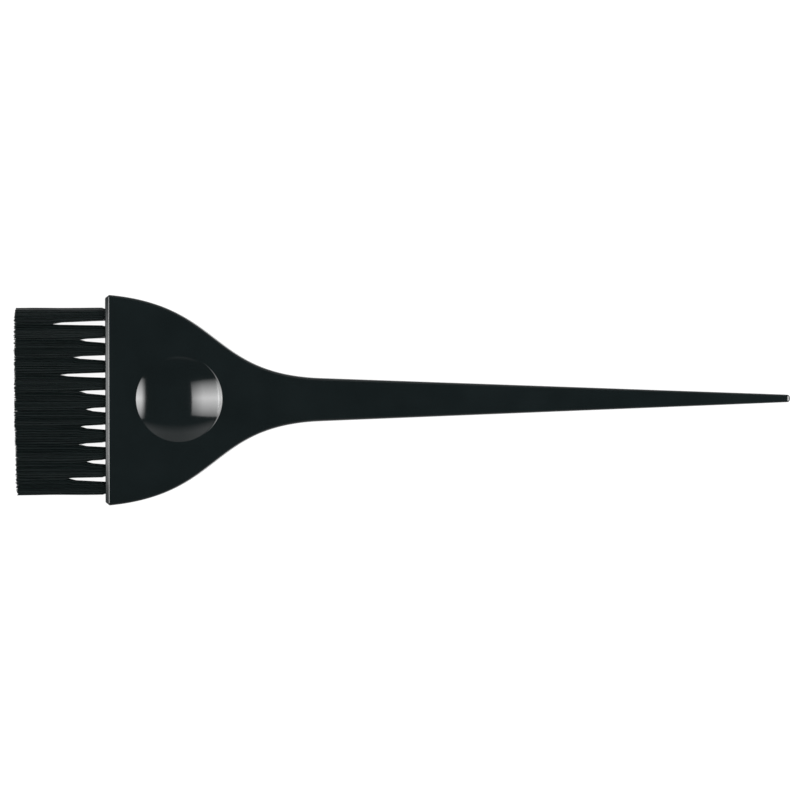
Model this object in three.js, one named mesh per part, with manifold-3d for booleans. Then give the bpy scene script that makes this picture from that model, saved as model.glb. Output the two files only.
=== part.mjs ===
// A wide hair-tint brush: a one-piece moulded handle with a flared head, a thumb dish and a pointed tail,
// and two rows of staple-set bristle tufts, each held in its hole by a flat wire anchor.
// Millimetres. The brush lies on its back: +X runs from the bristle tips to the tail, +Z is up,
// and the origin is under the middle of the overall length, on the plane of the head's back face.

import * as THREE from "three";
import { mergeVertices } from "three/addons/utils/BufferGeometryUtils.js";
import Module from "manifold-3d";

// ---- Driving dimensions ----

const LENGTH = 216; // bristle tips to tail tip
const BRISTLE_LENGTH = 25.4; // bristle tips to the head's front face
const HEAD_WIDTH = 58.4;
const HEAD_THICKNESS = 9;

// Distances named ..._AT are measured along the handle from the head's front face.
const CHAMFER_WIDTH = 1.05; // flat width of the chamfer round the front face
const CHAMFER_SLOPE = THREE.MathUtils.degToRad(38); // of that chamfer against the sides
const FACE_EASING = 0.5; // radius between the front face and the chamfer
const SIDE_EASING = 0.4; // radius between the chamfer and the sides
const SIDE_ROUNDING = 0.7; // radius of the head's long edges
const SHOULDER_PULL = 31.1; // how strongly the outline keeps the head's line before it sweeps in
const SHOULDER_DROP = 3; // how much narrower each side would get along that line
const STEM_AT = 59.6; // where the sweep ends in the stem
const STEM_PULL = 30.7; // how strongly the outline keeps the stem's line before that
const STEM_WIDTH = 12; // at STEM_AT
const STEM_THICKNESS = 6.4; // at STEM_AT
const STEM_ROUNDING = 0.9; // radius of the stem's long edges
const FULL_THICKNESS_AT = 34; // the head keeps its thickness up to here
const TIP_WIDTH = 2.1;
const TIP_THICKNESS = 2.1;
const TIP_ROUNDING = 0.5;
const TIP_LENGTH = 0.9; // length of the rounded end of the tail

const DISH_AT = 20.5; // centre of the thumb dish
const DISH_ASIDE = 0.3; // how far that centre is off the head's middle line
const DISH_BOTTOM_RADIUS = 26; // sphere that the bottom of the dish is part of
const DISH_LIP_RADIUS = 1.2; // rounding where the dish meets the flat face
const DISH_SLOPE = THREE.MathUtils.degToRad(26.9); // steepest slope, where bottom and lip meet

const TUFTS_PER_ROW = 11;
const TUFT_PITCH = 4.85;
const ROW_PITCH = 3.6;
const ROWS_ASIDE = -0.3; // how far the middle of each row is off the head's middle line
const HOLE_RADIUS = 1.45;
const HOLE_DEPTH = 9;
const ROOT_RADIUS = 1.3; // of a tuft inside its hole
const ROOT_DEPTH = 8.85; // of a tuft's fold
const MOUTH_HALF_WIDTH = 1.65; // of a tuft just outside its hole
const MOUTH_HALF_THICKNESS = 1.45;
const BLOCK_WIDTH = 52; // all tufts of a row together
const BLOCK_TIP_THICKNESS = 7.8; // both rows together, at the tips
const TUFT_GAP = 0.3; // clear gap between tufts that lie against each other

// How far each gap between neighbouring tufts runs from the head before it closes, from +Y to -Y.
const GAP_LENGTHS = [15, 7.7, 9.4, 12.6, 7.8, 6.2, 7.7, 7.8, 6.2, 11.1];
const GAP_TAPER = 0.65; // share of a gap's width that is gone where it closes

const ANCHOR_LENGTH = 3.3; // across the hole, which it is wider than
const ANCHOR_DEPTH = 1.6; // along the hole
const ANCHOR_THICKNESS = 0.35;
const ANCHOR_AT = 6.7; // its middle
const ANCHOR_GAP = 0.1;

const HANDLE_LENGTH = LENGTH - BRISTLE_LENGTH;
const FRONT_X = BRISTLE_LENGTH - LENGTH / 2; // plane of the head's front face
const MID_Z = HEAD_THICKNESS / 2; // plane that halves the thickness
const QUARTER_TURN = Math.PI / 2;

// How far the front face's whole edge, chamfer and easings together, reaches along the handle and inwards.
const [slopeSin, slopeCos] = [Math.sin(CHAMFER_SLOPE), Math.cos(CHAMFER_SLOPE)];
const EDGE_DEPTH = FACE_EASING * (1 - slopeSin) + CHAMFER_WIDTH * slopeCos + SIDE_EASING * slopeSin;
const EDGE_INSET = FACE_EASING * slopeCos + CHAMFER_WIDTH * slopeSin + SIDE_EASING * (1 - slopeCos);

const { lerp, smoothstep } = THREE.MathUtils;

// ---- Solids ----

const wasm = await Module();
wasm.setup();

function toSolid(geometry) {
  const bare = geometry.clone();
  bare.deleteAttribute("normal");
  bare.deleteAttribute("uv");
  const merged = mergeVertices(bare, 1e-4);
  const mesh = new wasm.Mesh({
    numProp: 3,
    vertProperties: new Float32Array(merged.attributes.position.array),
    triVerts: new Uint32Array(merged.index.array),
  });
  return new wasm.Manifold(mesh);
}

function toGeometry(solid) {
  const mesh = solid.getMesh();
  const geometry = new THREE.BufferGeometry();
  geometry.setAttribute("position", new THREE.BufferAttribute(mesh.vertProperties, 3));
  geometry.setIndex(new THREE.BufferAttribute(mesh.triVerts, 1));
  geometry.computeVertexNormals();
  return geometry;
}

// A closed solid along X, lofted through one ring of points per station. pointOn(station, k) is point k
// of the ring, and each end is closed on the middle between opposite points of its ring.
function loft(stations, ringPoints, pointOn) {
  const bands = stations.length - 1;
  const geometry = new THREE.CylinderGeometry(1, 1, 1, ringPoints, bands);
  const position = geometry.attributes.position;
  for (let i = 0; i < position.count; i += 1) {
    const [across, along, up] = [position.getZ(i), position.getY(i), position.getX(i)];
    const station = stations[Math.round((along + 0.5) * bands)];
    const turn = Math.atan2(up, across) / (2 * Math.PI);
    const k = Math.round((turn + 1) * ringPoints) % ringPoints;
    const point = pointOn(station, k);
    if (Math.hypot(across, up) < 0.5) {
      point.lerp(pointOn(station, (k + ringPoints / 2) % ringPoints), 0.5);
    }
    position.setXYZ(i, point.x, point.y, point.z);
  }
  return geometry;
}

// ---- Handle ----

const CORNER_POINTS = 6; // on each rounded corner of the handle's cross-section
const stemSlope = (STEM_WIDTH - TIP_WIDTH) / 2 / (HANDLE_LENGTH - STEM_AT);
const shoulder = new THREE.CubicBezierCurve(
  new THREE.Vector2(EDGE_DEPTH, HEAD_WIDTH / 2),
  new THREE.Vector2(EDGE_DEPTH + SHOULDER_PULL, HEAD_WIDTH / 2 - SHOULDER_DROP),
  new THREE.Vector2(STEM_AT - STEM_PULL, STEM_WIDTH / 2 + STEM_PULL * stemSlope),
  new THREE.Vector2(STEM_AT, STEM_WIDTH / 2),
);

// A station in the front face's edge, this far behind the face and this far inside the sides.
function edgeStation(at, inset) {
  return {
    at,
    halfWidth: HEAD_WIDTH / 2 - inset,
    halfThickness: HEAD_THICKNESS / 2 - inset,
    rounding: SIDE_ROUNDING * lerp(1, 0.3, inset / EDGE_INSET),
  };
}

// Where the easing next to the face leans by tilt from the sides: a quarter turn at the face itself.
function faceEasingStation(tilt) {
  return edgeStation(FACE_EASING * (1 - Math.sin(tilt)), EDGE_INSET - FACE_EASING * Math.cos(tilt));
}

// Where the easing next to the sides leans by tilt from them.
function sideEasingStation(tilt) {
  return edgeStation(EDGE_DEPTH - SIDE_EASING * Math.sin(tilt), SIDE_EASING * (1 - Math.cos(tilt)));
}

// The head and its sweep into the stem, at parameter t of the outline.
function shoulderStation(t) {
  const outline = shoulder.getPoint(t);
  const blend = smoothstep(outline.x, FULL_THICKNESS_AT, STEM_AT);
  return {
    at: outline.x,
    halfWidth: outline.y,
    halfThickness: lerp(HEAD_THICKNESS, STEM_THICKNESS, blend) / 2,
    rounding: lerp(SIDE_ROUNDING, STEM_ROUNDING, blend),
  };
}

// The tapering stem, at fraction t of its length.
function stemStation(t) {
  return {
    at: lerp(STEM_AT, HANDLE_LENGTH - TIP_LENGTH, t),
    halfWidth: lerp(STEM_WIDTH, TIP_WIDTH, t) / 2,
    halfThickness: lerp(STEM_THICKNESS, TIP_THICKNESS, t) / 2,
    rounding: lerp(STEM_ROUNDING, TIP_ROUNDING, t),
  };
}

// The rounded end of the tail, from where the stem ends at a = 0 towards the very tip at a = 1.
function tipStation(a) {
  const shrink = Math.cos(a * QUARTER_TURN);
  return {
    at: HANDLE_LENGTH - TIP_LENGTH * (1 - Math.sin(a * QUARTER_TURN)),
    halfWidth: (TIP_WIDTH / 2) * shrink,
    halfThickness: (TIP_THICKNESS / 2) * shrink,
    rounding: TIP_ROUNDING * shrink,
  };
}

function handleStations() {
  const [shoulderSteps, stemSteps] = [26, 4];
  const stations = [];
  for (const share of [0, 0.5, 1]) {
    stations.push(faceEasingStation(lerp(QUARTER_TURN, CHAMFER_SLOPE, share)));
  }
  for (const share of [0, 0.5, 1]) stations.push(sideEasingStation(lerp(CHAMFER_SLOPE, 0, share)));
  for (let i = 1; i <= shoulderSteps; i += 1) stations.push(shoulderStation(i / shoulderSteps));
  for (let i = 1; i <= stemSteps; i += 1) stations.push(stemStation(i / stemSteps));
  for (const a of [0.4, 0.75]) stations.push(tipStation(a));
  return [...stations, { ...tipStation(0.97), at: HANDLE_LENGTH }];
}

// Point k of a rounded rectangle: each quarter of the ring is one rounded corner.
function handlePoint(station, k) {
  const corner = Math.floor(k / CORNER_POINTS);
  const arc = (corner + (k % CORNER_POINTS) / (CORNER_POINTS - 1)) * QUARTER_TURN;
  const sideY = corner === 0 || corner === 3 ? 1 : -1;
  const sideZ = corner < 2 ? 1 : -1;
  return new THREE.Vector3(
    FRONT_X + station.at,
    sideY * (station.halfWidth - station.rounding) + station.rounding * Math.cos(arc),
    MID_Z + sideZ * (station.halfThickness - station.rounding) + station.rounding * Math.sin(arc),
  );
}

// The space of the dish, turned about Z with its rim at z = 0: the bottom's arc out to the steepest
// slope, the lip's arc back to almost level, and straight up from there.
function dishSpace() {
  const [bottomSteps, lipSteps, height] = [7, 2, 2];
  const depth = (DISH_BOTTOM_RADIUS + DISH_LIP_RADIUS) * (1 - Math.cos(DISH_SLOPE));
  const rimRadius = (DISH_BOTTOM_RADIUS + DISH_LIP_RADIUS) * Math.sin(DISH_SLOPE);
  const profile = [];
  for (let i = 0; i <= bottomSteps; i += 1) {
    const slope = (i / bottomSteps) * DISH_SLOPE;
    const rise = DISH_BOTTOM_RADIUS * (1 - Math.cos(slope));
    profile.push(new THREE.Vector2(DISH_BOTTOM_RADIUS * Math.sin(slope), rise - depth));
  }
  for (let i = lipSteps - 1; i > 0; i -= 1) {
    const slope = (i / lipSteps) * DISH_SLOPE;
    const drop = DISH_LIP_RADIUS * (1 - Math.cos(slope));
    profile.push(new THREE.Vector2(rimRadius - DISH_LIP_RADIUS * Math.sin(slope), -drop));
  }
  profile.push(new THREE.Vector2(profile.at(-1).x, height));
  profile.push(new THREE.Vector2(0, height));
  return new THREE.LatheGeometry(profile, 32).rotateX(QUARTER_TURN);
}

// A tuft's blind hole, with the groove that the anchor scores in its wall on the way in.
function tuftHole(place) {
  const clearance = 1; // in front of the face
  const hole = new THREE.CylinderGeometry(HOLE_RADIUS, HOLE_RADIUS, HOLE_DEPTH + clearance, 16);
  hole.rotateZ(QUARTER_TURN);
  hole.translate((HOLE_DEPTH - clearance) / 2, 0, 0);
  const grooveDepth = ANCHOR_AT + ANCHOR_DEPTH / 2 + ANCHOR_GAP;
  const groove = new THREE.BoxGeometry(
    grooveDepth + clearance,
    ANCHOR_LENGTH + 2 * ANCHOR_GAP,
    ANCHOR_THICKNESS + 2 * ANCHOR_GAP,
  );
  groove.translate((grooveDepth - clearance) / 2, 0, 0);
  const solid = toSolid(hole).add(toSolid(groove));
  return solid.translate([place.x, place.y, place.z]);
}

function makeHandle() {
  let solid = toSolid(loft(handleStations(), 4 * CORNER_POINTS, handlePoint));
  const dish = toSolid(dishSpace());
  const dishX = FRONT_X + DISH_AT;
  solid = solid.subtract(dish.translate([dishX, DISH_ASIDE, HEAD_THICKNESS]));
  solid = solid.subtract(dish.rotate([180, 0, 0]).translate([dishX, DISH_ASIDE, 0]));
  for (const { place } of tuftPlaces()) solid = solid.subtract(tuftHole(place));
  const plastic = new THREE.MeshStandardMaterial({ color: 0x15191a, roughness: 0.28, metalness: 0 });
  const handle = new THREE.Mesh(toGeometry(solid), plastic);
  handle.name = "handle";
  return handle;
}

// ---- Tufts and their anchors ----

const TUFT_RING_POINTS = 12;

// Every tuft's name ending, its index from +Y, its side of the middle plane and its hole's mouth.
function tuftPlaces() {
  const places = [];
  for (const side of [1, -1]) {
    for (let index = 0; index < TUFTS_PER_ROW; index += 1) {
      const y = ROWS_ASIDE + ((TUFTS_PER_ROW - 1) / 2 - index) * TUFT_PITCH;
      const row = side > 0 ? "upper" : "lower";
      places.push({
        label: row + "_" + String(index + 1).padStart(2, "0"),
        index,
        side,
        place: new THREE.Vector3(FRONT_X, y, MID_Z + (side * ROW_PITCH) / 2),
      });
    }
  }
  return places;
}

// How far a tuft reaches sideways at distance out from the head. Towards a neighbour it widens until
// the gap between them closes, and without a neighbour it ends at the side of the bristle block.
function reachSideways(gapLength, out) {
  if (gapLength === undefined) return (BLOCK_WIDTH - (TUFTS_PER_ROW - 1) * TUFT_PITCH) / 2;
  const closed = (TUFT_PITCH - TUFT_GAP) / 2;
  return out < gapLength ? lerp(MOUTH_HALF_WIDTH, closed, (GAP_TAPER * out) / gapLength) : closed;
}

// A tuft's rings: a round root in the hole, then a fuller, squarer bundle out to the trimmed tips.
function tuftStations(index) {
  const round = { left: ROOT_RADIUS, right: ROOT_RADIUS, inner: ROOT_RADIUS, outer: ROOT_RADIUS };
  const inside = [ROOT_DEPTH, 0].map((depth) => ({ ...round, depth, power: 1 }));
  const outside = [1, 5, 9, 13, 17, BRISTLE_LENGTH].map((out) => ({
    depth: -out,
    power: 0.5,
    left: reachSideways(GAP_LENGTHS[index - 1], out),
    right: reachSideways(GAP_LENGTHS[index], out),
    inner: out > 1 ? (ROW_PITCH - TUFT_GAP) / 2 : MOUTH_HALF_THICKNESS,
    outer: lerp(
      MOUTH_HALF_THICKNESS,
      (BLOCK_TIP_THICKNESS - ROW_PITCH) / 2,
      out / BRISTLE_LENGTH,
    ),
  }));
  return [...inside, ...outside].reverse();
}

function makeTuft({ label, index, side, place }) {
  const flatten = (value, power) => Math.sign(value) * Math.abs(value) ** power;
  const pointOn = (station, k) => {
    const angle = (k / TUFT_RING_POINTS) * 2 * Math.PI;
    const across = flatten(Math.cos(angle), station.power);
    const up = flatten(Math.sin(angle), station.power);
    const y = across * (across > 0 ? station.left : station.right);
    const z = up * (up * side > 0 ? station.outer : station.inner);
    return new THREE.Vector3(station.depth, y, z);
  };
  const bundle = toSolid(loft(tuftStations(index), TUFT_RING_POINTS, pointOn));
  const fold = new THREE.BoxGeometry(
    ANCHOR_DEPTH + 2 * ANCHOR_GAP,
    3 * ROOT_RADIUS,
    ANCHOR_THICKNESS + 2 * ANCHOR_GAP,
  );
  fold.translate(ANCHOR_AT, 0, 0);
  const nylon = new THREE.MeshStandardMaterial({ color: 0x141819, roughness: 0.55, metalness: 0 });
  const tuft = new THREE.Mesh(toGeometry(bundle.subtract(toSolid(fold))), nylon);
  tuft.name = "tuft_" + label;
  tuft.position.copy(place);
  return tuft;
}

function makeAnchor({ label, place }) {
  const wire = new THREE.BoxGeometry(ANCHOR_DEPTH, ANCHOR_LENGTH, ANCHOR_THICKNESS);
  const brass = new THREE.MeshStandardMaterial({ color: 0xb08d57, roughness: 0.35, metalness: 1 });
  const anchor = new THREE.Mesh(wire, brass);
  anchor.name = "anchor_" + label;
  anchor.position.set(place.x + ANCHOR_AT, place.y, place.z);
  return anchor;
}

// ---- Assembly ----

const brush = new THREE.Group();
brush.name = "tint_brush";
brush.add(makeHandle());
for (const tuftPlace of tuftPlaces()) {
  brush.add(makeTuft(tuftPlace));
  brush.add(makeAnchor(tuftPlace));
}

export default brush;
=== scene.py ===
"""The looks of a wide hair-tint brush, in metres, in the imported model's frame: +X to the tail, +Z up.

The handle is one glossy black moulding with a thumb dish on both faces. Each bristle tuft is a bundle of
nylon filaments, folded round a brass anchor in a blind hole and trimmed straight at the tips."""

import math
import random

import bpy
import numpy as np
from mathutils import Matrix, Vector


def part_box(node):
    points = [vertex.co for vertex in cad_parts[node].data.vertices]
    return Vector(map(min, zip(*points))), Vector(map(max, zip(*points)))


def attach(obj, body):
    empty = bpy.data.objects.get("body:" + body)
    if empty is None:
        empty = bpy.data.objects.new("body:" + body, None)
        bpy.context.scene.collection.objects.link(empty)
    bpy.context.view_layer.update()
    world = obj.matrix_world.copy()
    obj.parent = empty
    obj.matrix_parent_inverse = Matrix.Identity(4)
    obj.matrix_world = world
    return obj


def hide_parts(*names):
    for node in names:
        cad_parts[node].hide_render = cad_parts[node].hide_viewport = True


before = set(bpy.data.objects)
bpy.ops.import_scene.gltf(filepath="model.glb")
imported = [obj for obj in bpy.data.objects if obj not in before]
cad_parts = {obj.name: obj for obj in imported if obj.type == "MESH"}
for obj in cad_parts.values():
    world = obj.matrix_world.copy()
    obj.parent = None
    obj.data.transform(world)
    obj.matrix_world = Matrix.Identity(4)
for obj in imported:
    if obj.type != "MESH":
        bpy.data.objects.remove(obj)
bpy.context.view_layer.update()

# ---- Sizes: the frame gives the places, and these are the shapes that the frame doesn't state ----

MM = 0.001
HANDLE_LOW, HANDLE_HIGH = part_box("handle")
FRONT_X = HANDLE_LOW.x
HANDLE_LENGTH = HANDLE_HIGH.x - FRONT_X
HALF_WIDTH = HANDLE_HIGH.y
HALF_THICKNESS = (HANDLE_HIGH.z - HANDLE_LOW.z) / 2
MID_Z = (HANDLE_HIGH.z + HANDLE_LOW.z) / 2

# Distances named ..._AT are measured along the handle from the head's front face.
# The chamfer runs round the front face, and an arc eases it into the face and into the sides.
CHAMFER_WIDTH = 1.05 * MM
CHAMFER_SLOPE = math.radians(36)  # 2 degrees shallower than the CAD's
FACE_EASING = 0.5 * MM
SIDE_EASING = 0.4 * MM
SIDE_ROUNDING = 0.7 * MM
FACE_ROUNDING = 0.21 * MM  # of the front face's own corners
SHOULDER_PULL = 31.1 * MM
SHOULDER_DROP = 3 * MM
STEM_AT = 59.6 * MM
STEM_PULL = 30.7 * MM
STEM_HALF_WIDTH = 6 * MM
STEM_HALF_THICKNESS = 3.2 * MM
STEM_ROUNDING = 0.9 * MM
FULL_THICKNESS_AT = 34 * MM  # up to here the head is as thick as at its front
TIP_HALF_WIDTH = 1.05 * MM
TIP_ROUNDING = 0.5 * MM
TIP_LENGTH = 0.9 * MM
PARTING_HEIGHT = 0.03 * MM
PARTING_HALF_WIDTH = 0.12 * MM
PARTING_SHARE = 0.4  # of a flat's half height, the most that the parting line takes on the thin tail
FLAT_MARGIN = 0.15 * MM  # a loop of points this far inside each flat keeps its shading flat
MARGIN_SHARE = 0.3  # of a flat's half width, the most that the margin takes on the thin tail

# How far the front face's whole edge, chamfer and easings together, reaches along the handle and inwards.
EDGE_DEPTH = (
    FACE_EASING * (1 - math.sin(CHAMFER_SLOPE))
    + CHAMFER_WIDTH * math.cos(CHAMFER_SLOPE)
    + SIDE_EASING * math.sin(CHAMFER_SLOPE)
)
EDGE_INSET = (
    FACE_EASING * math.cos(CHAMFER_SLOPE)
    + CHAMFER_WIDTH * math.sin(CHAMFER_SLOPE)
    + SIDE_EASING * (1 - math.cos(CHAMFER_SLOPE))
)

DISH_AT = 20.5 * MM
DISH_ASIDE = 0.3 * MM
DISH_BOTTOM_RADIUS = 26 * MM
DISH_LIP_RADIUS = 1.2 * MM
DISH_SLOPE = math.radians(26.9)
DISH_RIM_SLOPE = math.radians(1.5)  # where the lip's arc stops, so that it crosses the face cleanly
DISH = Vector((FRONT_X + DISH_AT, DISH_ASIDE, HANDLE_HIGH.z))

HOLE_RADIUS = 1.45 * MM
HOLE_DEPTH = 9 * MM
HOLE_CHAMFER = 0.12 * MM
ANCHOR_GAP = 0.1 * MM  # between an anchor and the groove that it sits in

TUFT_PITCH = 4.85 * MM
BLOCK_HALF_WIDTH = 26 * MM  # of all the bristles together
MOUTH_HALF_WIDTH = 1.7 * MM
MOUTH_HALF_THICKNESS = 1.45 * MM
TIP_OUTER_REACH = 2.1 * MM
FLARE_LENGTH = 0.9 * MM
FILAMENT_RADIUS = 0.11 * MM
FILAMENT_SPACING = 0.235 * MM
BUNDLE_RADIUS = 1.4 * MM
FILAMENT_SIDES = 5
PRESSING_LENGTH = 1.2 * MM  # over which the filaments close up towards the anchor
PRESSED_SHARE = 0.8  # of their spread at the mouth, which they keep beside the anchor
BEND_SHARE = 0.85  # of a half circle's depth, for the bend round the anchor's far edge
ROWS_MEET_OUT = 4 * MM  # from the head, where the upper and lower tufts meet
# How far out from the head each filament has its points, besides the one at its tip.
FILAMENT_STATIONS = [out * MM for out in (0, 0.9, 2.5, 4.3, 6, 7.5, 9, 11, 13, 15.5, 20)]

# How far each gap between neighbouring tufts runs from the head before it closes, from +Y to -Y,
# and how far towards +Y it leans by then.
GAP_LENGTHS = (15, 7.7, 9.4, 12.6, 7.8, 6.2, 7.7, 7.8, 6.2, 11.1)
GAP_LEANS = (-0.3, 0.3, 0.2, 0.1, 0.3, 0.15, 0.2, 0, 0.05, 0.3)
GAPS = [(length * MM, lean * MM) for length, lean in zip(GAP_LENGTHS, GAP_LEANS)]
GAP_TAPER = 0.65  # how much of its width a gap loses by tapering
GAP_CLOSING = 1.5 * MM  # the last stretch, over which the gap's sides meet
TUFT_MIXING = 0.2 * MM  # how far closed neighbours reach into each other
TRIM_SLANT = 0.4 * MM  # how much shorter the -Y tufts are trimmed
TRIM_SLANT_RUN = (4 * MM, 18 * MM)  # from the middle line towards -Y, where that sets in and is complete
CORNER_TRIM = 0.35 * MM  # how much shorter the filaments at the block's two outer corners are
CORNER_WIDTH = 4 * MM
TRIM_SHORTENING = 0.14 * MM  # how much shorter than its tuft a filament is, and the spread of that
TRIM_SPREAD = 0.09 * MM
TIP_STRAY_Y = 0.1 * MM  # the spread of the filaments' tips round their even places
TIP_STRAY_Z = 0.12 * MM
RIPPLE_HEIGHT = 0.05 * MM
RIPPLE_LENGTH = 3 * MM  # for each radian of the wave


def mix(a, b, share):
    return a + (b - a) * share


def smooth(value, start=0.0, end=1.0):
    """0 before start, 1 after end, and an even S between."""
    share = min(1.0, max(0.0, (value - start) / (end - start)))
    return share * share * (3 - 2 * share)


# ---- Mesh building: a part is (points, faces), and an object is made of one or more parts ----


def make_object(name, parts, material=None):
    points, faces = [], []
    for part_points, part_faces in parts:
        first = len(points)
        points.extend(part_points)
        faces.extend(tuple(first + i for i in face) for face in part_faces)
    mesh = bpy.data.meshes.new(name)
    mesh.from_pydata(points, [], faces)
    if material:
        mesh.materials.append(material)
    made = bpy.data.objects.new(name, mesh)
    bpy.context.scene.collection.objects.link(made)
    return made


def band_faces(rings, count):
    """The faces between rings of count points, each ring joined to the next."""
    faces = []
    for ring in range(rings - 1):
        for k in range(count):
            a = ring * count + k
            b = ring * count + (k + 1) % count
            faces.append((a, b, b + count, a + count))
    return faces


def loft(rings):
    """A closed part along +X through rings of points that run from +Y towards +Z."""
    count = len(rings[0])
    points = [point for ring in rings for point in ring]
    faces = band_faces(len(rings), count)
    faces.append(tuple(reversed(range(count))))
    faces.append(tuple(range(len(points) - count, len(points))))
    return points, [tuple(reversed(face)) for face in faces]


def shade(piece, sharp_degrees):
    piece.data.shade_smooth()
    piece.data.set_sharp_from_angle(angle=math.radians(sharp_degrees))


# ---- Handle ----


def shoulder_outline(t):
    """Distance behind the front face and half width, where the head's sweep is at parameter t."""
    slope = (STEM_HALF_WIDTH - TIP_HALF_WIDTH) / (HANDLE_LENGTH - STEM_AT)
    start = Vector((EDGE_DEPTH, HALF_WIDTH))
    end = Vector((STEM_AT, STEM_HALF_WIDTH))
    after_start = start + Vector((SHOULDER_PULL, -SHOULDER_DROP))
    controls = (start, after_start, end + STEM_PULL * Vector((-1, slope)), end)
    weights = ((1 - t) ** 3, 3 * (1 - t) ** 2 * t, 3 * (1 - t) * t**2, t**3)
    return sum((weight * control for weight, control in zip(weights, controls)), Vector((0, 0)))


def handle_section(at, half_width, half_thickness, rounding):
    """A ring round the handle: a rounded rectangle, with a fine parting line along each side."""
    flat_y = half_width - rounding
    flat_z = half_thickness - rounding
    margin_y = min(FLAT_MARGIN, MARGIN_SHARE * flat_y)
    margin_z = min(FLAT_MARGIN, MARGIN_SHARE * flat_z)
    corner_steps = 12
    quarter = [
        (half_width + PARTING_HEIGHT, 0),
        (half_width, min(PARTING_HALF_WIDTH, PARTING_SHARE * flat_z)),
        (half_width, flat_z - margin_z),
    ]
    for step in range(corner_steps + 1):
        angle = step / corner_steps * math.pi / 2
        quarter.append((flat_y + rounding * math.cos(angle), flat_z + rounding * math.sin(angle)))
    quarter += [(flat_y - margin_y, half_thickness), (flat_y / 2, half_thickness), (0, half_thickness)]
    upper = quarter + [(-y, z) for y, z in reversed(quarter[:-1])]
    ring = upper + [(y, -z) for y, z in reversed(upper[1:-1])]
    return [(FRONT_X + at, y, MID_Z + z) for y, z in ring]


def front_edge():
    """Distance behind the front face and inset from the sides, along the eased chamfer round the face."""
    steps = 8
    face_side, sides_side = [], []
    for step in range(steps + 1):
        tilt = mix(math.pi / 2, CHAMFER_SLOPE, step / steps)
        at, inset = FACE_EASING * (1 - math.sin(tilt)), EDGE_INSET - FACE_EASING * math.cos(tilt)
        face_side.append((at, inset))
        tilt = mix(CHAMFER_SLOPE, 0, step / steps)
        at, inset = EDGE_DEPTH - SIDE_EASING * math.sin(tilt), SIDE_EASING * (1 - math.cos(tilt))
        sides_side.append((at, inset))
    on_face = (0, EDGE_INSET + FLAT_MARGIN)
    chamfer = (face_side[-1], sides_side[0])
    margins = [tuple(mix(a, b, share) for a, b in zip(*chamfer)) for share in (0.1, 0.9)]
    return [on_face, *face_side, *margins, *sides_side]


def handle_rings():
    shoulder_steps, stem_steps, tip_steps = 80, 28, 10
    rings = []
    # The front face and the chamfer round it.
    for at, inset in front_edge():
        rounding = mix(SIDE_ROUNDING, FACE_ROUNDING, min(1, inset / EDGE_INSET))
        rings.append(handle_section(at, HALF_WIDTH - inset, HALF_THICKNESS - inset, rounding))
    # The head and its sweep into the stem, from just behind the chamfer's last ring.
    for step in range(shoulder_steps + 1):
        at, half_width = shoulder_outline(max(0.002, step / shoulder_steps))
        thinning = smooth(at, FULL_THICKNESS_AT, STEM_AT)
        half_thickness = mix(HALF_THICKNESS, STEM_HALF_THICKNESS, thinning)
        rounding = mix(SIDE_ROUNDING, STEM_ROUNDING, thinning)
        rings.append(handle_section(at, half_width, half_thickness, rounding))
    # The tapering stem.
    for step in range(1, stem_steps + 1):
        share = step / stem_steps
        at = mix(STEM_AT, HANDLE_LENGTH - TIP_LENGTH, share)
        half_width = mix(STEM_HALF_WIDTH, TIP_HALF_WIDTH, share)
        half_thickness = mix(STEM_HALF_THICKNESS, TIP_HALF_WIDTH, share)
        rounding = mix(STEM_ROUNDING, TIP_ROUNDING, share)
        rings.append(handle_section(at, half_width, half_thickness, rounding))
    # The rounded end of the tail, which stops just short of a point so that it closes with a face.
    for step in range(1, tip_steps + 1):
        angle = step / (tip_steps + 0.3) * math.pi / 2
        shrink = math.cos(angle)
        half_side = TIP_HALF_WIDTH * shrink
        at = HANDLE_LENGTH - TIP_LENGTH * (1 - math.sin(angle))
        rings.append(handle_section(at, half_side, half_side, TIP_ROUNDING * shrink))
    return rings


def dish_profile():
    """Radius and height above the face along the dish: bottom arc, lip arc, then on above the face."""
    bottom_steps, lip_steps = 32, 8
    depth = (DISH_BOTTOM_RADIUS + DISH_LIP_RADIUS) * (1 - math.cos(DISH_SLOPE))
    rim_radius = (DISH_BOTTOM_RADIUS + DISH_LIP_RADIUS) * math.sin(DISH_SLOPE)
    profile = []
    for step in range(1, bottom_steps + 1):
        slope = step / bottom_steps * DISH_SLOPE
        height = DISH_BOTTOM_RADIUS * (1 - math.cos(slope)) - depth
        profile.append((DISH_BOTTOM_RADIUS * math.sin(slope), height))
    for step in range(1, lip_steps + 1):
        slope = mix(DISH_SLOPE, DISH_RIM_SLOPE, step / lip_steps)
        radius = rim_radius - DISH_LIP_RADIUS * math.sin(slope)
        profile.append((radius, DISH_LIP_RADIUS * (math.cos(slope) - 1)))
    run, clearance = 0.5 * MM, 1 * MM
    radius, height = profile[-1]
    profile.append((radius + run, height + run * math.tan(DISH_RIM_SLOPE)))
    profile.append((radius + run, clearance))
    return -depth, profile


def dish_space(side):
    """The space that the dish takes out of the face on side +1, the upper one, or -1."""
    around = 144
    bottom, profile = dish_profile()
    face_z = MID_Z + side * HALF_THICKNESS
    points = []
    for radius, height in profile:
        for k in range(around):
            angle = k / around * 2 * math.pi
            x, y = DISH.x + radius * math.cos(angle), DISH.y + radius * math.sin(angle)
            points.append((x, y, face_z + side * height))
    faces = band_faces(len(profile), around)
    faces.append(tuple(range(len(points) - around, len(points))))
    middle = len(points)
    points.append((DISH.x, DISH.y, face_z + side * bottom))
    faces += [(middle, (k + 1) % around, k) for k in range(around)]
    return points, faces if side > 0 else [tuple(reversed(face)) for face in faces]


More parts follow.
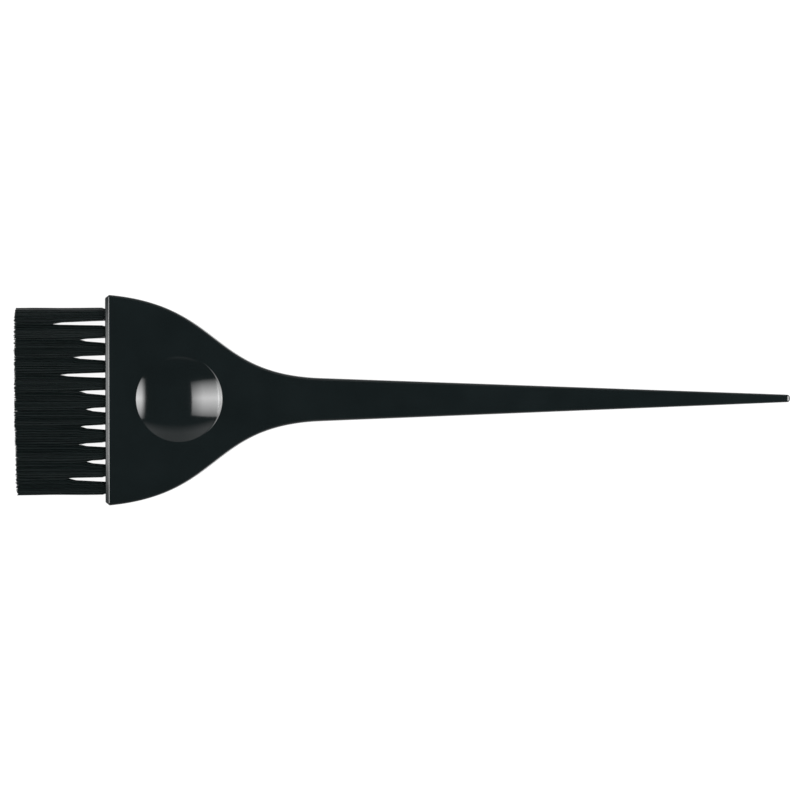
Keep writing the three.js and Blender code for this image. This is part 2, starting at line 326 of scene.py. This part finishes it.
def hole_outline(half_thickness, half_length, grow):
    """The outline of a tuft's hole, with the two ears that the ends of its anchor score in the wall."""
    radius = HOLE_RADIUS + grow
    ear_z = half_thickness + ANCHOR_GAP + grow
    ear_y = half_length + ANCHOR_GAP + grow
    corner = math.asin(ear_z / radius)
    steps = 20
    angles = [mix(corner, math.pi - corner, step / steps) for step in range(steps + 1)]
    upper = [(radius * math.cos(a), radius * math.sin(a)) for a in angles]
    half = [(ear_y, ear_z), *upper, (-ear_y, ear_z)]
    return half + [(-y, -z) for y, z in half]


def hole_space(label):
    """The space of one tuft's blind hole: its mouth's small chamfer runs on past the front face by reach."""
    low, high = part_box("anchor_" + label)
    middle = (low + high) / 2
    half = (high - low) / 2
    reach = 0.3 * MM
    rings = []
    for at, grow in ((-reach, HOLE_CHAMFER + reach), (HOLE_CHAMFER, 0), (HOLE_DEPTH, 0)):
        outline = hole_outline(half.z, half.y, grow)
        rings.append([(FRONT_X + at, middle.y + y, middle.z + z) for y, z in outline])
    return loft(rings)


def cut_away(piece, parts):
    """Takes the closed parts out of piece's mesh."""
    cutter = make_object("cutter", parts)
    modifier = piece.modifiers.new("cut", "BOOLEAN")
    modifier.operation = "DIFFERENCE"
    modifier.solver = "EXACT"
    modifier.object = cutter
    evaluated = piece.evaluated_get(bpy.context.evaluated_depsgraph_get())
    mesh = bpy.data.meshes.new_from_object(evaluated)
    piece.modifiers.clear()
    piece.data = mesh
    bpy.data.objects.remove(cutter)


def make_handle(labels):
    handle = make_object("moulded_handle", [loft(handle_rings())], handle_plastic())
    cut_away(handle, [dish_space(+1), dish_space(-1)])
    cut_away(handle, [hole_space(label) for label in labels])
    shade(handle, 30)
    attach(handle, "root")
    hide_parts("handle")


# ---- Bristle tufts ----


def fold_places():
    """Where the folded filaments of a tuft stand in the upper half of its hole, in a unit disc."""
    spacing = FILAMENT_SPACING / (BUNDLE_RADIUS - FILAMENT_RADIUS)
    row_height = spacing * math.sqrt(3) / 2
    columns = math.ceil(1 / spacing)
    places = []
    for row in range(int(1 / row_height)):
        up = (row + 0.5) * row_height
        for column in range(-columns, columns + 1):
            across = (column + 0.5 * (row % 2)) * spacing
            if math.hypot(across, up) <= 1:
                places.append((across, up))
    return places


def square_from_disc(across, up):
    """Spreads a point of the unit disc to its place in the square from -1 to 1."""

    def stretch(a, b):
        base = 2 + a * a - b * b
        lean = 2 * math.sqrt(2) * a
        return (math.sqrt(max(0, base + lean)) - math.sqrt(max(0, base - lean))) / 2

    return stretch(across, up), stretch(up, across)


def reach_sideways(gap, out, side):
    """How far a tuft reaches towards the gap on side +1 or -1 of it, at distance out from the head."""
    if gap is None:
        return BLOCK_HALF_WIDTH - (len(GAPS) * TUFT_PITCH) / 2
    length, lean = gap
    closed = TUFT_PITCH / 2 + side * lean
    tapered = mix(MOUTH_HALF_WIDTH, closed, GAP_TAPER * min(1, out / length))
    reach = mix(tapered, closed, smooth(out, length - GAP_CLOSING, length))
    return reach + TUFT_MIXING * smooth(out, length - GAP_CLOSING, 2 * length)


def end_path(tuft, across, up, rng):
    """The outside stretch of one filament end, from the hole's mouth to its trimmed tip."""
    p, q = square_from_disc(across, up)
    from_side = BLOCK_HALF_WIDTH - abs(tuft["middle"].y + p * TUFT_PITCH / 2)
    corner_trim = CORNER_TRIM * (1 - smooth(from_side, 0, CORNER_WIDTH))
    length = tuft["length"] - corner_trim - abs(rng.gauss(TRIM_SHORTENING, TRIM_SPREAD))
    side = 1 if p > 0 else -1
    gap = tuft["gap_left"] if p > 0 else tuft["gap_right"]
    lean_y = rng.gauss(0, TIP_STRAY_Y)
    lean_z = rng.gauss(0, TIP_STRAY_Z)
    wave = rng.uniform(0, RIPPLE_HEIGHT)
    phase = rng.uniform(0, 2 * math.pi)
    path = []
    for out in [*FILAMENT_STATIONS, length]:
        square_y = p * (reach_sideways(gap, out, side) - FILAMENT_RADIUS)
        outer = mix(MOUTH_HALF_THICKNESS, TIP_OUTER_REACH, out / tuft["length"])
        inner = mix(MOUTH_HALF_THICKNESS, tuft["inner_reach"], smooth(out, 0, ROWS_MEET_OUT))
        square_z = q * (outer if q * tuft["side"] > 0 else inner)
        flare = smooth(out, 0, FLARE_LENGTH)
        stray = (out / tuft["length"]) ** 1.5
        ripple = wave * math.sin(phase + out / RIPPLE_LENGTH) * flare
        y = mix(across * (BUNDLE_RADIUS - FILAMENT_RADIUS), square_y, flare) + lean_y * stray + ripple
        z = mix(up * (BUNDLE_RADIUS - FILAMENT_RADIUS), square_z, flare) + lean_z * stray
        path.append((FRONT_X - out, tuft["middle"].y + y, tuft["middle"].z + z))
    return path


def fold_path(tuft, across, up):
    """The stretch of a folded filament inside the hole, from its upper end round the anchor to its lower.
    Beside the anchor the filaments are pressed a little closer together than at the mouth."""
    y = tuft["middle"].y + across * (BUNDLE_RADIUS - FILAMENT_RADIUS)
    near, far = tuft["anchor_near"], tuft["anchor_far"]
    spread = tuft["anchor_half_thickness"] + FILAMENT_RADIUS
    straight = up * (BUNDLE_RADIUS - FILAMENT_RADIUS)
    passing = spread + PRESSED_SHARE * straight
    upper = [(near - PRESSING_LENGTH, straight), (near, passing), (far, passing)]
    bend = []
    for angle in (math.pi / 4, 0, -math.pi / 4):
        bend.append((far + BEND_SHARE * passing * math.cos(angle), passing * math.sin(angle)))
    route = upper + bend + [(x, -z) for x, z in reversed(upper)]
    return [(x, y, tuft["middle"].z + z) for x, z in route]


def tube(path, radius, sides):
    """A closed round tube along a path that never runs straight along Y, as points and faces."""
    line = np.array(path)
    tangent = np.gradient(line, axis=0)
    tangent /= np.linalg.norm(tangent, axis=1)[:, None]
    across = np.array((0.0, 1.0, 0.0)) - tangent * tangent[:, 1:2]
    across /= np.linalg.norm(across, axis=1)[:, None]
    up = np.cross(tangent, across)
    angles = np.arange(sides) / sides * 2 * math.pi
    rings = (
        line[:, None, :]
        + radius * np.cos(angles)[None, :, None] * across[:, None, :]
        + radius * np.sin(angles)[None, :, None] * up[:, None, :]
    )
    points = rings.reshape(-1, 3).tolist()
    faces = band_faces(len(path), sides)
    faces.append(tuple(reversed(range(sides))))
    faces.append(tuple(range(len(points) - sides, len(points))))
    return points, faces


def read_tuft(label):
    """Where a tuft's hole, anchor and tips are, from the frame."""
    low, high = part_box("anchor_" + label)
    index = int(label[-2:]) - 1
    middle = (low + high) / 2
    trimmed = TRIM_SLANT * smooth(-middle.y, *TRIM_SLANT_RUN)
    return {
        "middle": middle,
        "side": 1 if middle.z > MID_Z else -1,
        "inner_reach": abs(middle.z - MID_Z) - FILAMENT_RADIUS / 2,
        "length": FRONT_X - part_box("tuft_" + label)[0].x - trimmed,
        "anchor_near": low.x,
        "anchor_far": high.x,
        "anchor_half_thickness": (high.z - low.z) / 2,
        "gap_left": GAPS[index - 1] if index > 0 else None,
        "gap_right": GAPS[index] if index < len(GAPS) else None,
    }


def make_tuft(label, material):
    tuft = read_tuft(label)
    rng = random.Random("tuft " + label)
    parts, tones = [], []
    for across, up in fold_places():
        upper = end_path(tuft, across, up, rng)
        lower = end_path(tuft, across, -up, rng)
        path = upper[::-1] + fold_path(tuft, across, up) + lower
        part = tube(path, FILAMENT_RADIUS, FILAMENT_SIDES)
        parts.append(part)
        tones += [rng.random()] * len(part[0])
    piece = make_object("filaments_" + label, parts, material)
    tone = piece.data.attributes.new("filament_tone", "FLOAT", "POINT")
    tone.data.foreach_set("value", tones)
    shade(piece, 60)
    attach(piece, "root")
    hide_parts("tuft_" + label)


# ---- Materials ----


class Nodes:
    """The node tree of a material, light or world, with one short call per node."""

    def __init__(self, owner, shader):
        self.owner = owner
        owner.use_nodes = True
        self.tree = owner.node_tree
        self.shader = self.tree.nodes[shader]

    def add(self, kind, links=None, **settings):
        node = self.tree.nodes.new(kind)
        for key, value in settings.items():
            setattr(node, key, value)
        for socket, value in (links or {}).items():
            self.set(node.inputs[socket], value)
        return node

    def set(self, socket, value):
        if isinstance(value, bpy.types.NodeSocket):
            self.tree.links.new(value, socket)
        else:
            socket.default_value = value

    def place(self, scale=(1, 1, 1)):
        """The place on the object in metres, times scale."""
        place = self.add("ShaderNodeTexCoord").outputs["Object"]
        return self.add("ShaderNodeMapping", {"Vector": place, "Scale": scale}).outputs["Vector"]

    def noise(self, vector, scale, detail=3.0, roughness=0.5):
        sockets = {"Vector": vector, "Scale": scale, "Detail": detail, "Roughness": roughness}
        return self.add("ShaderNodeTexNoise", sockets).outputs["Fac"]

    def remap(self, value, low, high, to_low=0.0, to_high=1.0, curve="LINEAR"):
        sockets = {"Value": value, "From Min": low, "From Max": high, "To Min": to_low, "To Max": to_high}
        return self.add("ShaderNodeMapRange", sockets, interpolation_type=curve).outputs["Result"]

    def blend(self, share, dark, light):
        node = self.add("ShaderNodeMix", data_type="RGBA")
        self.set(node.inputs["Factor"], share)
        self.set(node.inputs[6], (*dark, 1))
        self.set(node.inputs[7], (*light, 1))
        return node.outputs[2]

    def part(self, vector, axis):
        return self.add("ShaderNodeSeparateXYZ", {"Vector": vector}).outputs[axis]

    def math(self, operation, a, b=0.0):
        node = self.add("ShaderNodeMath", operation=operation)
        self.set(node.inputs[0], a)
        self.set(node.inputs[1], b)
        return node.outputs[0]

    def bump(self, height, distance, strength=1.0):
        sockets = {"Height": height, "Distance": distance, "Strength": strength}
        return self.add("ShaderNodeBump", sockets).outputs["Normal"]

    def finish(self, **sockets):
        for name, value in sockets.items():
            self.set(self.shader.inputs[name.replace("_", " ")], value)
        return self.owner


def surface(name):
    return Nodes(bpy.data.materials.new(name), "Principled BSDF")


def handle_plastic():
    """Glossy black moulded plastic: a soft mottle, faint flow along the handle and hairline scratches."""
    n = surface("handle_plastic")
    mottle = n.noise(n.place(), 90, 4)
    grain = n.noise(n.place(), 2600, 2)
    flow = n.noise(n.place((18, 240, 240)), 1, 3)
    scratches = n.noise(n.place((260, 5200, 5200)), 1, 2, 0.6)
    hairlines = n.remap(scratches, 0.68, 0.76)
    roughness = n.math("ADD", n.remap(flow, 0.3, 0.7, 0.07, 0.1), n.math("MULTIPLY", hairlines, 0.05))
    relief = n.math("ADD", n.math("MULTIPLY", grain, 0.25), n.math("MULTIPLY", hairlines, -0.3))
    return n.finish(
        Base_Color=n.blend(n.remap(mottle, 0.3, 0.7), (0.0018, 0.0036, 0.0039), (0.0029, 0.0051, 0.0055)),
        Roughness=roughness,
        Normal=n.bump(relief, 0.002 * MM),
        IOR=1.49,
    )


def bristle_nylon():
    """Black nylon filament: each one a little lighter or darker, with drawn streaks along it."""
    n = surface("bristle_nylon")
    tone = n.add("ShaderNodeAttribute", attribute_name="filament_tone").outputs["Fac"]
    streaks = n.noise(n.place((120, 4000, 4000)), 1, 2)
    share = n.math("MULTIPLY", tone, n.remap(streaks, 0.3, 0.7, 0.6, 1.2))
    return n.finish(
        Base_Color=n.blend(share, (0.0022, 0.0042, 0.0042), (0.005, 0.008, 0.008)),
        Roughness=n.remap(tone, 0, 1, 0.22, 0.32),
        Normal=n.bump(streaks, 0.004 * MM),
        IOR=1.5,
    )


def anchor_brass():
    """Drawn flat brass wire: die lines along the wire and a dull, slightly uneven tarnish."""
    n = surface("anchor_brass")
    lines = n.noise(n.place((9000, 500, 9000)), 1, 2)
    tarnish = n.noise(n.place(), 900, 4)
    return n.finish(
        Base_Color=n.blend(n.remap(tarnish, 0.35, 0.7), (0.60, 0.40, 0.17), (0.38, 0.24, 0.10)),
        Metallic=1.0,
        Roughness=n.remap(lines, 0.3, 0.7, 0.24, 0.42),
        Normal=n.bump(lines, 0.006 * MM),
    )


def painted_glow_floor():
    """A pale frosted floor, a little uneven, with a painted glow. The floor's emission washes out the
    brush's shadows; it is strongest round the brush and dimmer far from it.
    """
    n = surface("painted_glow_floor")
    frost = n.noise(n.place(), 700, 5, 0.6)
    from_brush = n.add("ShaderNodeVectorMath", {"Vector": n.place()}, operation="LENGTH").outputs["Value"]
    return n.finish(
        Base_Color=n.blend(n.remap(frost, 0.3, 0.7), (0.055, 0.055, 0.055), (0.065, 0.065, 0.065)),
        Emission_Color=(1, 1, 1, 1),
        # Painted glow: this emission fills in the shadows that the brush casts, brightest round the brush
        # and fading away from it.
        Emission_Strength=n.remap(from_brush, 0.4, 1.6, 0.94, 0.6, "SMOOTHSTEP"),
        Roughness=0.7,
        Normal=n.bump(frost, 0.01 * MM),
    )


# ---- Studio ----


def make_floor():
    half = 12.0
    corners = [(-half, -half, 0), (half, -half, 0), (half, half, 0), (-half, half, 0)]
    # The floor's material paints a glow over it that washes out the brush's shadows.
    floor = make_object("floor", [(corners, [(0, 1, 2, 3)])], painted_glow_floor())


def make_light(name, offset, size, luminance, glow):
    """A soft panel that faces the dish from an offset. It looks as bright as luminance where glow, made
    from the panel's own places across and up from -1 to 1, is 1."""
    data = bpy.data.lights.new(name, "AREA")
    data.shape = "RECTANGLE"
    data.size, data.size_y = size
    data.energy = luminance * math.pi * size[0] * size[1]
    n = Nodes(data, "Emission")
    place = n.add("ShaderNodeNewGeometry").outputs["Parametric"]
    across = n.remap(n.part(place, "X"), 0, 1, -1, 1)
    up = n.remap(n.part(place, "Y"), 0, 1, -1, 1)
    n.finish(Strength=glow(n, across, up))
    light = bpy.data.objects.new(name, data)
    light.location = DISH + Vector(offset)
    light.rotation_euler = Vector(offset).to_track_quat("Z", "Y").to_euler()
    light.visible_camera = False
    bpy.context.scene.collection.objects.link(light)


# Each glow gives how bright a panel is at the place (across, up) on it, as a share of its luminance.


def softbox_glow(n, across, up):
    """Brightest in the middle and lower half, as with a lamp behind a diffuser."""
    sides = n.math("MINIMUM", n.remap(across, 0, 1, 1, 0.05), n.remap(across, 0, -1, 1, 0.21))
    return n.math("MULTIPLY", sides, n.remap(up, 0.2, 1, 1, 0.48))


def strip_glow(n, across, up):
    """Brightest along its middle, and dark at both sides."""
    return n.remap(n.math("ABSOLUTE", across), 0, 1, 1, 0)


def round_glow(n, across, up):
    """The upper part of a big round diffuser, whose edge is an arc, with its lamp below the middle."""
    below_middle = n.math("ADD", up, 2.56)
    squares = n.math("ADD", n.math("POWER", across, 2), n.math("POWER", below_middle, 2))
    from_centre = n.math("SQRT", squares)
    side_fade = n.remap(n.math("ABSOLUTE", across), 0, 1, 1, 0.18)
    lamp = n.math("MULTIPLY", n.remap(up, -1, 1, 1, 0.52), side_fade)
    return n.math("MULTIPLY", n.remap(from_centre, 3.07, 3.36, 1, 0), lamp)


def card_glow(n, across, up):
    """Even in the middle, and dark towards both sides."""
    return n.remap(n.math("ABSOLUTE", across), 0.48, 0.72, 1, 0)


def wall_glow(n, across, up):
    """Fades out upwards, and is brightest at both ends."""
    ends = n.remap(n.math("ABSOLUTE", across), 0.15, 0.6, 1, 1.6)
    return n.math("MULTIPLY", n.remap(up, 0.86, 0.2, 0, 1), ends)


def make_lights():
    """The panels that the dish and the front edge reflect, as offset from the dish, size across and up, and
    luminance: three on the left, one on the right, and a dim wall on either side of the brush."""
    make_light("left_softbox", (-0.367, -0.008, 0.475), (0.444, 0.377), 14.1, softbox_glow)
    make_light("left_strip", (-0.523, -0.01, 0.294), (0.541, 0.142), 12, strip_glow)
    make_light("left_card", (-1.1, 0, 0.345), (0.2, 0.31), 4.6, card_glow)
    make_light("right_softbox", (0.458, -0.008, 0.388), (0.52, 0.41), 23, round_glow)
    make_light("back_wall", (0, 0.77, 0.78), (2.4, 0.61), 0.58, wall_glow)
    make_light("front_wall", (0, -0.82, 0.56), (2.4, 0.3), 0.45, wall_glow)


def make_world():
    """A plain room: pale near the horizon, and dark towards the ceiling."""
    world = bpy.data.worlds.new("studio")
    bpy.context.scene.world = world
    n = Nodes(world, "Background")
    height = n.part(n.add("ShaderNodeTexCoord").outputs["Generated"], "Z")
    n.finish(Color=n.remap(height, 0.15, 0.42, 0.5, 0.1, "SMOOTHSTEP"))


def make_camera():
    """Straight above the brush, as far up as a long lens needs to fill the frame with it."""
    frame_width = 223.2 * MM  # covered by the picture's width at the brush's middle height
    data = bpy.data.cameras.new("camera")
    data.lens = 100
    data.sensor_width = 36
    distance = frame_width * data.lens / data.sensor_width
    camera = bpy.data.objects.new("camera", data)
    camera.location = (-0.81 * MM, -0.16 * MM, MID_Z + distance)
    camera.rotation_euler = (0, 0, math.radians(-0.15))
    bpy.context.scene.collection.objects.link(camera)
    bpy.context.scene.camera = camera


def make_brush():
    labels = sorted(name[len("tuft_"):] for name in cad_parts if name.startswith("tuft_"))
    make_handle(labels)
    nylon = bristle_nylon()
    brass = anchor_brass()
    for label in labels:
        make_tuft(label, nylon)
        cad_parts["anchor_" + label].material_slots[0].material = brass


bpy.context.scene.view_settings.view_transform = "Standard"
make_camera()
make_world()
make_lights()
make_floor()
make_brush()
